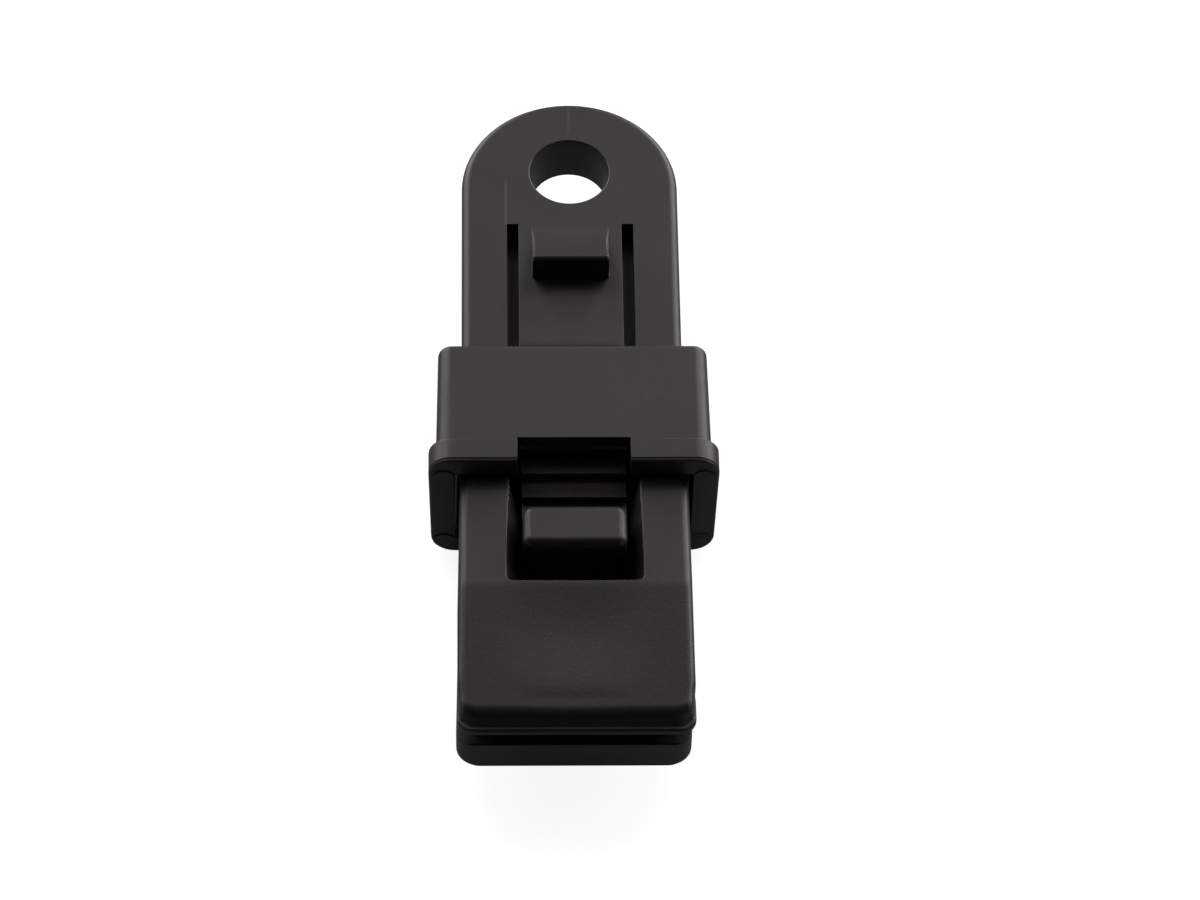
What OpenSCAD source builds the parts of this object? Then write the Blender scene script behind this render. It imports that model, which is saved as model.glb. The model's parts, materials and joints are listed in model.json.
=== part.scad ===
// Tarp clip: two long jaws moulded with an eyelet tail, squeezed shut by a sliding collar.
// Sizes in millimetres. The nose points to -Y, the eyelet end to +Y, and the collar's lip
// stands on Z = 0, where the clip rests on a table.

/* [Overall] */
// Length from the nose to the end of the tail
overall_l = 88.4; // [80:0.1:100]
// Radius of the rounded edges of the mouldings
edge_r = 1; // [0.4:0.1:1.2]

/* [Tail plate and eyelet] */
// Width of the tail
tail_w = 25.4; // [24:0.2:26.4]
// Thickness of the tail
tail_t = 6.3; // [5.7:0.1:6.9]
// Bore of the eyelet
eyelet_d = 8.8; // [7:0.1:10]
// Material between the eyelet and the end of the tail
eyelet_end_wall = 6.2; // [4.8:0.1:7]
// Material between the eyelet and the roots of the arms
eyelet_land = 3.4; // [2.4:0.1:5]
// Radius of the eyelet's rounded rims
eyelet_rim_r = 0.9; // [0.3:0.1:1.2]

/* [Jaws] */
// Width of each rail beside the tongue, at the tail
rail_w = 5.3; // [4.5:0.1:6]
// How much wider than the tail the jaws are inside the collar
jaw_flare = 0.3; // [0:0.1:0.8]
// How much wider again they are at the nose
nose_flare = 0.7; // [0:0.1:1.2]
// Height of the pair of jaws where the collar squeezes them
grip_h = 12.2; // [11.8:0.1:12.3]
// Length of the clamping pads, from the window to the nose
pad_l = 17.7; // [16:0.1:20]
// Length of the level stretch of the jaws behind the clamping pads
level_l = 15.9; // [12:0.1:18]
// Length of the flat stretch of the arms ahead of their roots
flat_l = 18.3; // [15:0.1:20]
// Thickness of the upper jaw at the nose
upper_nose_t = 2.4; // [2:0.1:3]
// Thickness of the lower jaw at the nose
lower_nose_t = 4.3; // [3.6:0.1:5]
// Gap between the jaws at the nose when the collar stands as drawn
nose_gap = 2.1; // [1.8:0.1:2.6]
// Gap that is left at the nose when the collar is pushed right home
closed_gap = 0.3; // [0.2:0.05:0.5]
// Depth of the slit between the jaws at their roots, below the middle of the tail
root_gap = 0.3; // [0.2:0.05:0.5]
// Radius of the upright corners of the nose
nose_corner_r = 1.6; // [0.8:0.1:2.5]
// Radius over the top of the upper jaw's nose
nose_r = 1.1; // [0.6:0.1:1.4]
// Draft of the face above the lip
nose_draft = 0.1; // [0.05:0.05:0.2]
// Length of the lip along the upper jaw's nose
nose_lip_l = 1.2; // [0.6:0.1:1.8]
// Thickness of that lip
nose_lip_t = 0.5; // [0.3:0.1:0.8]

/* [Gripping ridges] */
// Pitch of the ridges inside the jaws
ridge_pitch = 2.6; // [2:0.1:3.4]
// Height of the ridges
ridge_h = 0.8; // [0.4:0.1:1]
// Number of ridges
ridge_count = 4; // [2:1:5]
// Distance from the nose to the first ridge
ridge_inset = 2.6; // [2:0.1:4]
// Plain edge left at each end of the ridges
ridge_side = 1.6; // [1:0.1:3]

/* [Release tongue] */
// Width of each slot beside the tongue
slot_w = 1.35; // [1:0.05:1.8]
// Gap under the tongue at its root, above the middle of the tail
tongue_gap = 0.3; // [0.2:0.05:0.6]
// How much the tongue narrows at each side towards the button
tongue_taper = 0.15; // [0:0.05:0.4]
// Gap at each side of the tongue at the nose end of the window
window_gap = 1.8; // [1.4:0.1:2.4]
// Corner radius of the window
window_r = 0.9; // [0.4:0.1:1.5]
// Distance the button can be pushed down
press_travel = 1.5; // [1:0.1:1.7]

/* [Ratchet teeth] */
// Pitch of the teeth
tooth_pitch = 3.27; // [2.8:0.01:3.6]
// Height of the teeth
tooth_h = 1.1; // [0.7:0.1:1.3]
// Distance from the button to the first tooth
tooth_inset = 2.2; // [1.6:0.1:3]

/* [Push button] */
// Width of the ledge round the foot of the button
button_side = 0.05; // [0.05:0.05:1]
// Length of the button
button_l = 5.4; // [4.5:0.1:6]
// Height of the button above the rails
button_rise = 1.4; // [1:0.1:1.8]
// Radius of the button's edges
button_r = 1; // [0.4:0.1:1.3]
// Gap between the button and the end of the window
button_gap = 3.9; // [3:0.1:4.6]

/* [Ramped stop] */
// Distance from the side of the tongue to the side of the ramp
ramp_side = 1.7; // [1:0.1:2.4]
// Length of the ramp
ramp_l = 6.9; // [5:0.1:8]
// How far the ramp's crest stands above the roof of the collar's opening
ramp_catch = 0.4; // [0.2:0.1:0.8]
// Distance from the tongue's root to the foot of the ramp
ramp_inset = 0.8; // [0.4:0.1:1.4]
// Radius of the ramp's side edges and crest
ramp_edge_r = 0.4; // [0.2:0.1:0.8]

/* [Collar] */
// Length of the collar
collar_l = 17.5; // [15:0.1:19]
// Play at each side of the jaws in the collar's opening
side_play = 0.65; // [0.3:0.05:0.9]
// Play above and below the jaws in the collar's opening
top_play = 0.25; // [0.15:0.05:0.5]
// Corner radius of the opening
opening_r = 1; // [0.5:0.1:1.2]
// Thickness of the sleeve's side walls
side_wall = 2.1; // [1.6:0.1:2.6]
// Thickness of the sleeve's top and bottom walls
top_wall = 1.75; // [1.4:0.05:2.4]
// Length of the front lip
lip_depth = 3.45; // [2.4:0.05:4]
// Step from the sleeve out to the lip
lip_step = 0.85; // [0.5:0.05:1]
// Corner radius of the lip
lip_corner_r = 2.8; // [1.5:0.1:4]
// Radius of the lip's edges
lip_edge_r = 0.3; // [0.2:0.1:0.8]
// Draft of each side of the sleeve over its length
sleeve_draft = 0.25; // [0.1:0.05:0.4]
// Corner radius of the sleeve
sleeve_r = 1.6; // [1:0.1:2.4]
// Radius round the sleeve's back end
sleeve_end_r = 0.8; // [0.5:0.1:1.4]
// Clearance at each side of the button in the notch
notch_clear = 0.525; // [0.3:0.025:0.8]
// Distance the collar can still slide forward
lock_travel = 7.8; // [6:0.1:9]
// Clearance left between the notch and the button at the end of that travel
stop_gap = 0.3; // [0.2:0.1:0.6]
// Thickness of the pawl that clicks over the teeth
pawl_t = 1.2; // [0.8:0.1:1.6]
// Height of the pawl
pawl_h = 0.6; // [0.4:0.1:0.8]
// Distance from the side of the tongue to the side of the pawl
pawl_side = 0.6; // [0.4:0.1:1.5]

/* [Hidden] */
$fn = 48;
moulding_black = [0.16, 0.155, 0.15];
collar_black = [0.2, 0.195, 0.19];

// Overrun of the cutting shapes
over = 1;
// Steps of a smooth curve, and of a rounded edge
curve_steps = 14;
edge_steps = 6;
// Relief behind the root of each arm, so that it can bend
root_relief = 0.18;
// Clearance between the pawl and the crests of the teeth
pawl_clear = 0.15;
// Clearance between the pawl's back and the tooth that holds it
pawl_gap = 0.1;
// Flat foot in front of each tooth
tooth_land = 0.2;
// Number of the tooth behind the pawl, counted from the button
held_tooth = 3;
// Clearance under the pressed tongue
pocket_clear = 0.35;
// Share of the flat stretch of the arms that the pocket leaves whole
pocket_start_share = 0.5;
// Share of a pad's length over which its top bends down from the level rails
pad_bend_share = 0.2;

// Widths
jaw_w = tail_w + jaw_flare;
nose_w = jaw_w + nose_flare;
slot_half = tail_w / 2 - rail_w;
tongue_w = 2 * (slot_half - slot_w);
tongue_tip_w = tongue_w - 2 * tongue_taper;
window_w = tongue_tip_w + 2 * window_gap;
button_w = tongue_tip_w - 2 * button_side;
ramp_w = tongue_w - 2 * ramp_side;
pawl_w = tongue_tip_w - 2 * pawl_side;
notch_w = button_w + 2 * notch_clear;
opening_w = jaw_w + 2 * side_play;
sleeve_w = opening_w + 2 * side_wall;
lip_w = sleeve_w + 2 * lip_step;

// Places along the clip
tail_end_y = overall_l / 2;
nose_y = -overall_l / 2;
eyelet_y = tail_end_y - eyelet_end_wall - eyelet_d / 2;
root_y = eyelet_y - eyelet_d / 2 - eyelet_land;
arc_y = tail_end_y - tail_w / 2;
flat_end_y = root_y - flat_l;
window_y = nose_y + pad_l;
level_y = window_y + level_l;
pad_fall_l = pad_l - nose_lip_l - nose_r;
button_front_y = window_y + button_gap;
button_back_y = button_front_y + button_l;
notch_y = button_back_y + stop_gap + lock_travel;
collar_front_y = notch_y - lip_depth;
collar_back_y = collar_front_y + collar_l;
ramp_back_y = root_y - ramp_inset;
ramp_front_y = ramp_back_y - ramp_l;

// Heights
opening_h = grip_h + 2 * top_play;
sleeve_h = opening_h + 2 * top_wall;
lip_h = sleeve_h + 2 * lip_step;
mid_z = lip_h / 2;
tail_top_z = mid_z + tail_t / 2;
tail_low_z = mid_z - tail_t / 2;
rail_top_z = mid_z + grip_h / 2;
rail_low_z = mid_z - grip_h / 2;
lower_face_z = mid_z - root_gap;
mouth_top_z = lower_face_z + nose_gap;
nose_top_z = mouth_top_z + upper_nose_t;
nose_low_z = lower_face_z - lower_nose_t;
opening_top_z = mid_z + opening_h / 2;
pawl_low_z = opening_top_z - pawl_h;
tooth_top_z = pawl_low_z - pawl_clear;
tongue_top_z = tooth_top_z - tooth_h;
tongue_t = tail_t / 2 - tongue_gap;
tongue_tip_low_z = tongue_top_z - tongue_t;
button_top_z = rail_top_z + button_rise;
ramp_h = opening_top_z + ramp_catch - tail_top_z;

// Teeth that fit between the button and the flat stretch of the tongue
tooth_count = floor((flat_end_y - button_back_y - tooth_inset) / tooth_pitch);

// Slope of the upper jaw's inner face, from its root to the nose
inner_slope = (mouth_top_z - mid_z) / (root_y - nose_y);
// Turn of each jaw when the collar is pushed home
close_slope = (nose_gap - closed_gap) / 2 / (root_y - nose_y);
// Depth that the pocket needs for each millimetre from the tongue's root
press_slope = (press_travel + pocket_clear) / (root_y - button_front_y) + close_slope;

function inner_z(y) = mid_z + inner_slope * (root_y - y);
function tooth_y(i) = button_back_y + tooth_inset + i * tooth_pitch;
function ridge_y(i) = nose_y + ridge_inset + i * ridge_pitch;

// Smooth step from 0 to 1
function ease(t) = t * t * (3 - 2 * t);
function clamp(t) = min(1, max(0, t));

// Bend from level into a straight fall, from 0 to 1
function fall(t) =
  (t < pad_bend_share ? t * t / pad_bend_share / 2 : t - pad_bend_share / 2) / (1 - pad_bend_share / 2);

// Height of a surface that runs level, swings to another height, runs level and falls to the nose
function arm_z(y, tail_z, rail_z, nose_z) =
  y > level_y
    ? tail_z + (rail_z - tail_z) * ease(clamp((flat_end_y - y) / (flat_end_y - level_y)))
    : rail_z + (nose_z - rail_z) * fall(clamp((window_y - y) / pad_fall_l));

// Half width of the jaws
function jaw_half(y) =
  y > level_y
    ? (tail_w + (jaw_w - tail_w) * clamp((flat_end_y - y) / (flat_end_y - level_y))) / 2
    : (jaw_w + (nose_w - jaw_w) * clamp((level_y - y) / (level_y - nose_y))) / 2;

// Stations along an arm, from its root to the nose
function between(a, b, n) = [for (i = [0:n - 1]) a + (b - a) * i / n];
arm_stations = concat(
  [root_y],
  between(flat_end_y, level_y, curve_steps),
  [level_y],
  between(window_y, window_y - pad_fall_l, curve_steps)
);

// Points of an arc about c, from angle a to angle b
function arc(c, r, a, b, n) =
  [for (i = [0:n]) let (t = a + (b - a) * i / n) c + r * [cos(t), sin(t)]];

// Section of a bar at y: square edges at z_in, inside the clip, and rounded ones at z_out
function bar_section(y, half, z_in, z_out, r) =
  let (
    s = sign(z_out - z_in),
    points = concat(
      [[-half, z_in]],
      [for (q = arc([r - half, 0], r, 180, 90, edge_steps)) [q[0], z_out - s * (r - q[1])]],
      [for (q = arc([half - r, 0], r, 90, 0, edge_steps)) [q[0], z_out - s * (r - q[1])]],
      [[half, z_in]]
    ),
    last = len(points) - 1
  )
  [for (i = [0:last]) let (p = points[s > 0 ? last - i : i]) [p[0], y, p[1]]];
function jaw_section(y, z_in, z_out) = bar_section(y, jaw_half(y), z_in, z_out, edge_r);

// Height of the ramped stop at a share of its length
function rise(t) = ramp_h * t * (t + 1) / 2;

// Solid through a row of sections with the same number of points
module loft(rings) {
  n = len(rings[0]);
  last = len(rings) - 1;
  polyhedron(
    points = [for (ring = rings) each ring],
    faces = concat(
      [[for (i = [0:n - 1]) i]],
      [for (k = [0:last - 1], i = [0:n - 1])
        [k * n + i, (k + 1) * n + i, (k + 1) * n + (i + 1) % n, k * n + (i + 1) % n]],
      [[for (i = [n - 1:-1:0]) last * n + i]]
    )
  );
}

// Extrude an outline drawn in (y, z) across the clip
module across(width) {
  translate([-width / 2, 0, 0])
    rotate([90, 0, 90])
      linear_extrude(width)
        children();
}

// Extrude an outline drawn in (x, z) along the clip, from y0 back to y1
module along(y0, y1) {
  translate([0, y1, 0])
    rotate([90, 0, 0])
      linear_extrude(y1 - y0)
        children();
}

// Extrude an outline drawn in (x, y) through the whole height
module upright() {
  translate([0, 0, -over])
    linear_extrude(lip_h + 2 * over)
      children();
}

// Rectangle with round corners, centred
module round_rect(w, h, r) {
  square([w - 2 * r, h], center = true);
  square([w, h - 2 * r], center = true);
  for (x = [-1, 1], y = [-1, 1])
    translate([x * (w / 2 - r), y * (h / 2 - r)])
      circle(r);
}

// Block on z = 0 with round upright edges and round top edges
module pillow(w, l, h, r) {
  linear_extrude(h - r)
    round_rect(w, l, r);
  linear_extrude(h)
    square([w - 2 * r, l - 2 * r], center = true);
  for (side = [-1, 1]) {
    translate([side * (w / 2 - r), l / 2 - r, h - r])
      rotate([90, 0, 0])
        cylinder(r = r, h = l - 2 * r);
    translate([r - w / 2, side * (l / 2 - r), h - r])
      rotate([0, 90, 0])
        cylinder(r = r, h = w - 2 * r);
    for (end = [-1, 1])
      translate([side * (w / 2 - r), end * (l / 2 - r), h - r])
        sphere(r);
  }
}

// Wedge of air behind an arm's root, under its hinge line at z_hinge
module root_cut(z_hinge, z_in) {
  across(tail_w + 2 * over)
    polygon([
      [root_y + over, z_hinge],
      [root_y, z_hinge],
      [root_y - root_relief, z_in],
      [root_y - root_relief, z_in + sign(z_in - z_hinge) * over],
      [root_y + over, z_in + sign(z_in - z_hinge) * over]
    ]);
}

// Tail plate

module tail_section() {
  round_rect(tail_w, tail_t, edge_r);
}

module eyelet_cut() {
  translate([0, eyelet_y, tail_low_z - over])
    cylinder(d = eyelet_d, h = tail_t + 2 * over);
  for (face = [0, 1])
    translate([0, eyelet_y, mid_z])
      mirror([0, 0, face])
        rotate_extrude()
          difference() {
            translate([eyelet_d / 2 - eyelet_rim_r, tail_t / 2 - eyelet_rim_r])
              square([2 * eyelet_rim_r, eyelet_rim_r + over]);
            translate([eyelet_d / 2 + eyelet_rim_r, tail_t / 2 - eyelet_rim_r])
              circle(eyelet_rim_r);
          }
}

module tail_plate() {
  color(moulding_black)
    difference() {
      union() {
        along(root_y, arc_y)
          translate([0, mid_z])
            tail_section();
        translate([0, arc_y, mid_z])
          rotate_extrude(angle = 180)
            intersection() {
              tail_section();
              translate([0, -tail_t / 2])
                square([tail_w / 2, tail_t]);
            }
      }
      eyelet_cut();
    }
}

// Round the upright corners of the nose
module nose_corners() {
  for (side = [-1, 1])
    translate([side * (nose_w / 2 - nose_corner_r), nose_y + nose_corner_r])
      difference() {
        translate([side > 0 ? 0 : -nose_corner_r - over, -nose_corner_r - over])
          square([nose_corner_r + over, nose_corner_r + over]);
        circle(nose_corner_r);
      }
}

// One row of V shaped ridges across a pad, with their feet at z
module ridge_row(z) {
  for (i = [0:ridge_count - 1])
    across(nose_w - 2 * ridge_side)
      polygon([
        [ridge_y(i) - ridge_h, z],
        [ridge_y(i), z + ridge_h],
        [ridge_y(i) + ridge_h, z],
        [ridge_y(i) + ridge_h, z - over],
        [ridge_y(i) - ridge_h, z - over]
      ]);
}

// Upper jaw

upper_face_y = nose_y + nose_lip_l;
nose_lip_z = mouth_top_z + nose_lip_t;
pad_slope = atan((rail_top_z - nose_top_z) / pad_fall_l / (1 - pad_bend_share / 2));
upper_rings = concat(
  [for (y = arm_stations) jaw_section(y, inner_z(y), arm_z(y, tail_top_z, rail_top_z, nose_top_z))],
  [for (p = arc([upper_face_y + nose_r, nose_top_z - nose_r], nose_r, 90 + pad_slope, 165, edge_steps))
    jaw_section(p[0], inner_z(p[0]), p[1])],
  [for (y = [upper_face_y - nose_draft, nose_y])
    bar_section(y, jaw_half(y), inner_z(y), nose_lip_z, nose_lip_t / 2)]
);

// Slots and window, one long opening round the tongue
module window_outline() {
  window_half = window_w / 2;
  polygon([
    [-slot_half, root_y + over],
    [-slot_half, level_y],
    [-window_half, window_y + window_r],
    [window_half, window_y + window_r],
    [slot_half, level_y],
    [slot_half, root_y + over]
  ]);
  translate([window_r - window_half, window_y])
    square([window_w - 2 * window_r, 2 * window_r]);
  for (side = [-1, 1])
    translate([side * (window_half - window_r), window_y + window_r])
      circle(window_r);
}

module upper_jaw() {
  color(moulding_black)
    difference() {
      loft(upper_rings);
      upright()
        nose_corners();
      upright()
        window_outline();
      ridge_row(inner_z(ridge_y(0)));
      root_cut(tail_top_z, mid_z);
    }
}

// Lower jaw

lower_rings = concat(
  [for (y = arm_stations) jaw_section(y, lower_face_z, arm_z(y, tail_low_z, rail_low_z, nose_low_z))],
  [jaw_section(nose_y, lower_face_z, nose_low_z)]
);

// Pocket that the tongue sinks into when the button is pressed
module tongue_pocket() {
  pocket_back_y = root_y - flat_l * pocket_start_share;
  across(2 * slot_half)
    polygon([
      [pocket_back_y, lower_face_z + over],
      [pocket_back_y, lower_face_z],
      [flat_end_y, tail_top_z - tongue_t - press_slope * flat_l],
      [window_y, tongue_tip_low_z - press_slope * (root_y - window_y)],
      [window_y, lower_face_z + over]
    ]);
}

module lower_jaw() {
  color(moulding_black)
    difference() {
      union() {
        loft(lower_rings);
        ridge_row(lower_face_z);
      }
      upright()
        nose_corners();
      tongue_pocket();
      root_cut(tail_low_z, lower_face_z);
    }
}

// Release tongue with its ramped stop, ratchet teeth and push button

function tongue_z(y) = arm_z(max(y, level_y), tail_top_z, tongue_top_z, tongue_top_z);

module tongue_side() {
  tip_y = button_front_y - button_side - over;
  polygon(concat(
    [[root_y, tail_top_z], [flat_end_y, tail_top_z]],
    [for (i = [tooth_count - 1:-1:0]) each [
      [tooth_y(i) + tooth_pitch - tooth_land, tongue_z(tooth_y(i) + tooth_pitch)],
      [tooth_y(i), tongue_z(tooth_y(i)) + tooth_h],
      [tooth_y(i), tongue_z(tooth_y(i))]
    ]],
    [[tip_y, tongue_top_z], [tip_y, tongue_tip_low_z], [level_y, tongue_tip_low_z]],
    [for (y = between(level_y, flat_end_y, curve_steps)) [y, tongue_z(y) - tongue_t]],
    [[flat_end_y, tail_top_z - tongue_t], [root_y, tail_top_z - tongue_t]]
  ));
}

// Outline of the tongue from above, with round corners at the tip, under the button's
module tongue_outline() {
  tip_r = button_r + button_side;
  polygon([
    [-tongue_w / 2, root_y + over],
    [-tongue_w / 2, flat_end_y],
    [-tongue_tip_w / 2, button_back_y],
    [-tongue_tip_w / 2, button_front_y + button_r],
    [tongue_tip_w / 2, button_front_y + button_r],
    [tongue_tip_w / 2, button_back_y],
    [tongue_w / 2, flat_end_y],
    [tongue_w / 2, root_y + over]
  ]);
  translate([tip_r - tongue_tip_w / 2, button_front_y - button_side])
    square([tongue_tip_w - 2 * tip_r, 2 * tip_r]);
  for (side = [-1, 1])
    translate([side * (tongue_tip_w / 2 - tip_r), button_front_y + button_r])
      circle(tip_r);
}

// Ramp that the collar is pushed over once, from behind: a slow rise, then a steep face
module ramped_stop() {
  foot_z = tail_top_z - 2 * ramp_edge_r;
  slope_l = ramp_l - ramp_edge_r;
  slope = [for (t = between(0, 1, curve_steps)) [ramp_back_y - t * slope_l, tail_top_z + rise(t)]];
  crest_c = [ramp_front_y + ramp_edge_r, tail_top_z + ramp_h - ramp_edge_r];
  loft([
    for (p = concat(slope, arc(crest_c, ramp_edge_r, 90, 175, edge_steps)))
      bar_section(p[0], ramp_w / 2, foot_z, p[1], ramp_edge_r)
  ]);
}

module push_button() {
  translate([0, (button_front_y + button_back_y) / 2, tongue_tip_low_z])
    pillow(button_w, button_l, button_top_z - tongue_tip_low_z, button_r);
}

module release_tongue() {
  color(moulding_black)
    difference() {
      union() {
        intersection() {
          across(tongue_w)
            tongue_side();
          upright()
            tongue_outline();
        }
        ramped_stop();
        push_button();
      }
      root_cut(tail_top_z, mid_z);
    }
}

// Locking collar

// Outline that narrows towards the back, with round back corners, drawn in (x, y)
module drafted(front, back) {
  polygon(concat(
    [[-front / 2, collar_front_y + lip_edge_r]],
    arc([sleeve_end_r - back / 2, collar_back_y - sleeve_end_r], sleeve_end_r, 180, 90, edge_steps),
    arc([back / 2 - sleeve_end_r, collar_back_y - sleeve_end_r], sleeve_end_r, 90, 0, edge_steps),
    [[front / 2, collar_front_y + lip_edge_r]]
  ));
}

// Extrude an outline drawn in (z, y), measured from mid height, through the whole width
module sideways() {
  translate([lip_w / 2 + over, 0, mid_z])
    rotate([0, -90, 0])
      linear_extrude(lip_w + 2 * over)
        children();
}

module sleeve() {
  intersection() {
    along(collar_front_y, collar_back_y + over)
      translate([0, mid_z])
        round_rect(sleeve_w, sleeve_h, sleeve_r);
    upright()
      drafted(sleeve_w, sleeve_w - 2 * sleeve_draft);
    sideways()
      drafted(sleeve_h, sleeve_h - 2 * sleeve_draft);
  }
}

module front_lip() {
  lip_mid_y = collar_front_y + lip_depth / 2;
  intersection() {
    along(collar_front_y, notch_y)
      translate([0, mid_z])
        round_rect(lip_w, lip_h, lip_corner_r);
    upright()
      translate([0, lip_mid_y])
        round_rect(lip_w, lip_depth, lip_edge_r);
    sideways()
      translate([0, lip_mid_y])
        round_rect(lip_h, lip_depth, lip_edge_r);
  }
}

module pawl() {
  pawl_back_y = tooth_y(held_tooth) - pawl_gap;
  across(pawl_w)
    polygon([
      [pawl_back_y, opening_top_z + over / 2],
      [pawl_back_y, pawl_low_z],
      [pawl_back_y - pawl_t + pawl_h, pawl_low_z],
      [pawl_back_y - pawl_t, opening_top_z],
      [pawl_back_y - pawl_t, opening_top_z + over / 2]
    ]);
}

module collar() {
  color(collar_black)
    union() {
      difference() {
        union() {
          sleeve();
          front_lip();
        }
        along(collar_front_y - over, collar_back_y + over)
          translate([0, mid_z])
            round_rect(opening_w, opening_h, opening_r);
        translate([-notch_w / 2, collar_front_y - over, mid_z])
          cube([notch_w, lip_depth + over, lip_h]);
      }
      pawl();
    }
}

tail_plate();
upper_jaw();
lower_jaw();
release_tongue();
collar();
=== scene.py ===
"""Tarp clip: two long jaws moulded with an eyelet tail, and the collar that squeezes them shut.

Pieces are shaped in millimetres, in the frame of the CAD model, and brought to metres at the end.
The nose points to -Y, the eyelet end to +Y, and the upper jaw is at +Z.
"""

import json
import math

import bmesh
import bpy
from mathutils import Matrix, Vector


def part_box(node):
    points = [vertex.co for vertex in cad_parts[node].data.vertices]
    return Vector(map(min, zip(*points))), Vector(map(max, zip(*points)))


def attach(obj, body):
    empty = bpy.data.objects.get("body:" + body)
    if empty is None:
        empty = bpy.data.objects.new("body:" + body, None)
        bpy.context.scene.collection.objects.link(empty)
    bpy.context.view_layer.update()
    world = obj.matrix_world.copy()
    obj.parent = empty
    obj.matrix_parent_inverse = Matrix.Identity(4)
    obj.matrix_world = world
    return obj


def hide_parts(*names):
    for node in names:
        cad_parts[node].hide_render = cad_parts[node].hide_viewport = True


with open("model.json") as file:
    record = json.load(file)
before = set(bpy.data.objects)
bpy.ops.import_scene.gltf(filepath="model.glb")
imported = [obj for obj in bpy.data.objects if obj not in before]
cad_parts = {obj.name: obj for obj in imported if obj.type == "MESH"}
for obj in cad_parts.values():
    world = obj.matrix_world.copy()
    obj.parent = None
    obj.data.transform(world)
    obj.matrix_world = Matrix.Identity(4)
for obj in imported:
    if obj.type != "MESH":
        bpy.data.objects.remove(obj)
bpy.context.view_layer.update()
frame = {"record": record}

MM = 0.001


def corners(node):
    """Lowest and highest corner of a node of the frame, in millimetres."""
    low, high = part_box(node)
    return [v / MM for v in low], [v / MM for v in high]


tail_low, tail_high = corners("tail_plate")
upper_low, upper_high = corners("upper_jaw")
lower_low = corners("lower_jaw")[0]
tongue_low, tongue_high = corners("release_tongue")
collar_low, collar_high = corners("collar")
eyelet = frame["record"]["mounts"][0]

# Tail plate and eyelet, in millimetres
TAIL_HALF, TAIL_END = tail_high[0], tail_high[1]
TAIL_LOW, TAIL_TOP = tail_low[2], tail_high[2]
MID = (TAIL_LOW + TAIL_TOP) / 2
ROOT = tail_low[1]
ARC = TAIL_END - TAIL_HALF
EYELET, EYELET_R = eyelet["pos_m"][1] / MM, eyelet["dims"]["r_mm"]
BORE_SPARE, BORE_DRAFT, RIM = 0.05, 0.1, 0.2
EDGE = 1.0

# Both jaws, from the root to the nose
NOSE = upper_low[1]
FLAT_LENGTH, LEVEL_LENGTH, PAD_LENGTH = 18.3, 15.9, 17.7
FLAT_END = ROOT - FLAT_LENGTH
WINDOW = NOSE + PAD_LENGTH
LEVEL = WINDOW + LEVEL_LENGTH
RAIL_TOP, RAIL_LOW = upper_high[2], lower_low[2]
JAW_HALF, NOSE_HALF = TAIL_HALF + 0.15, TAIL_HALF + 0.5
LOWER_FACE = MID - 0.3
MOUTH_TOP = LOWER_FACE + 2.1
NOSE_TOP, NOSE_LOW = MOUTH_TOP + 2.4, LOWER_FACE - 4.3
NOSE_CORNER = 1.9
RIDGE_COUNT, RIDGE_PITCH, RIDGE_HEIGHT = 4, 2.6, 0.8
RIDGE_START, RIDGE_HALF, RIDGE_SPARE = NOSE + 2.6, NOSE_HALF - 1.6, 0.15
RIDGE_SINK = 0.02

# Brow of the upper jaw, and the ledge plate under it
NOSE_LENGTH, NOSE_TILT, FOOT_RADIUS = 2.75, 36, 0.5
BROW_RADIUS, BROW_INSET, BROW_CORNER = 2.0, 0.2, 1.9
LEDGE_TOP, LEDGE_RADIUS, PLATE_LENGTH = MOUTH_TOP + 0.8, 0.4, 6.0
PLATE_INSET, PLATE_LIFT, BODY_LIFT = 0.15, 0.05, 0.3
FALL_LENGTH = PAD_LENGTH - NOSE_LENGTH
BEND = 0.06

# Hollows of the pad: middle, reach along y, half width, depth
THUMB_DISH = (WINDOW - 5.8, 8.5, 11.0, 0.42)
SINK_MARK = (NOSE + 2.9, 2.0, 8.0, 0.1)

# Window and slots round the tongue
SLOT_HALF, WINDOW_HALF, WINDOW_CORNER = TAIL_HALF - 5.3, 7.7, 0.7
WALL_REACH, WALL_DEPTH, WALL_RUN_OUT = 1.6, 3.0, 6

# Lower jaw: its set to the left, its narrower nose, and the pocket under the tongue
JAW_SET, NOSE_NARROW = 0.25, 0.14
POCKET_START, POCKET_SHALLOW, POCKET_MIDDLE = ROOT - 9.15, LOWER_FACE + 0.05, 8.32
POCKET_LEVEL, POCKET_DEEP = WINDOW + 7, 6.5

# Release tongue with its teeth, button and ramped stop
TONGUE_HALF, TONGUE_THICK = tongue_high[0], 2.85
TOOTH_HEIGHT, TOOTH_GAP, TOOTH_LEAN = 1.1, 0.2, 0.05
TONGUE_TOP = TAIL_TOP + 2.45 - TOOTH_HEIGHT
BUTTON_FRONT, BUTTON_FOOT, BUTTON_TOP = tongue_low[1], tongue_low[2] + 0.02, tongue_high[2]
BUTTON_BACK = BUTTON_FRONT + 5.45
BUTTON_HALF, BUTTON_EDGE = 5.85, 1.15
BUTTON_TOP_EDGE = 0.9 * BUTTON_EDGE
TOOTH_PITCH, TOOTH_COUNT, TOOTH_START = 3.27, 6, BUTTON_BACK + 2.2
TIP, TIP_INSET = BUTTON_FRONT + BUTTON_EDGE, 0.5
RAMP_BACK, RAMP_FRONT, RAMP_HALF = ROOT - 0.8, ROOT - 7.9, TONGUE_HALF - 1.6
RAMP_RISE, RAMP_EDGE, RAMP_LEAD, RAMP_SOFT_END = 3.5, 0.6, 0.11, 0.15
RAMP_FOOT, RAMP_SIDE_EDGE, RAMP_SINK = 0.12, 0.35, 0.02

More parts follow.
